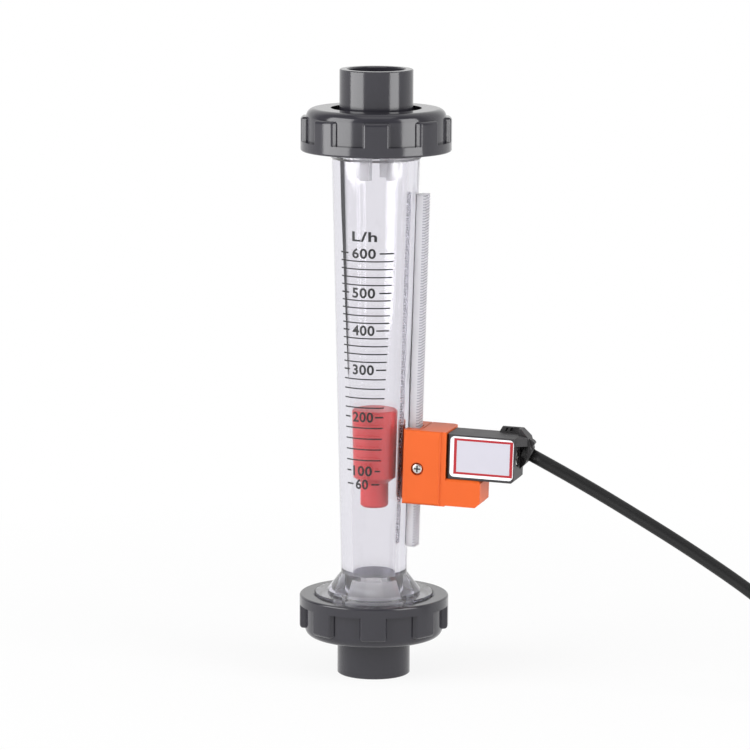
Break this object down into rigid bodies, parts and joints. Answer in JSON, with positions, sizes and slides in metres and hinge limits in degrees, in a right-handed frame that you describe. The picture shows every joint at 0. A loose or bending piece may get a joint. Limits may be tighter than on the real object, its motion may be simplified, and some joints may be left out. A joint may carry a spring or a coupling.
{
  "type": "rotameter",
  "caption": "Clear-tube variable-area flow meter for inline pipework, with union ends, a float, a printed scale and a sliding reed alarm on a serrated rail.",
  "frame": {"origin": "centre of the lower pipe socket's mouth", "axes": "+Z along the pipe, the way the water flows; +X towards the alarm's rail; the scale faces -Y"},
  "size_m": [0.235, 0.0771, 0.2168],
  "materials": {
    "clear_plastic": "moulded, polished",
    "grey_pvc": "moulded, satin",
    "seal_rubber": "moulded, matt",
    "white_stop_plastic": "moulded, satin",
    "red_float_plastic": "moulded, satin",
    "ferrite": "sintered, matt",
    "weight_steel": "turned",
    "orange_plastic": "moulded, satin",
    "bright_steel": "bright zinc",
    "black_plastic": "moulded, fine texture",
    "printed_label": "printed film, satin",
    "board": "glass-fibre laminate",
    "reed_glass": "fire-polished",
    "cable_rubber": "extruded, satin",
    "tinned_copper": "tinned"
  },
  "bodies": {
    "base": {"measuring_tube": "clear_plastic", "lower_end_connector": "grey_pvc", "upper_end_connector": "grey_pvc", "lower_o_ring": "seal_rubber", "upper_o_ring": "seal_rubber", "lower_float_stop": "white_stop_plastic", "upper_float_stop": "white_stop_plastic", "cable_lead": "cable_rubber", "cable_coil": "cable_rubber", "cable_end": "cable_rubber", "cable_cores": "tinned_copper"},
    "lower_nut": {"lower_union_nut": "grey_pvc"},
    "upper_nut": {"upper_union_nut": "grey_pvc"},
    "float": {"float_body": "red_float_plastic", "float_cap": "red_float_plastic", "float_magnet": "ferrite", "float_weight": "weight_steel"},
    "alarm": {"clamp_body": "orange_plastic", "clamp_screw": "bright_steel", "clamp_nut": "bright_steel", "sensor_housing": "black_plastic", "sensor_cover": "black_plastic", "sensor_label": "printed_label", "sensor_screw": "bright_steel", "circuit_board": "board", "reed_switch": "reed_glass", "cable_grommet": "cable_rubber"}
  },
  "joints": [
    {"name": "float_slide", "type": "slide", "parent": "base", "child": "float", "axis": [0, 0, 1], "range_m": [-0.028, 0.0819]},
    {"name": "alarm_slide", "type": "slide", "parent": "base", "child": "alarm", "axis": [0.0257, 0, 0.9997], "range_m": [-0.015, 0.082], "deforming": ["cable_lead"]},
    {"name": "upper_nut_turn", "type": "hinge", "parent": "base", "child": "upper_nut", "pos_m": [0, 0, 0.1968], "axis": [0, 0, 1], "range_deg": [0, 1350]},
    {"name": "lower_nut_turn", "type": "hinge", "parent": "base", "child": "lower_nut", "pos_m": [0, 0, 0.02], "axis": [0, 0, -1], "range_deg": [0, 1350]}
  ]
}
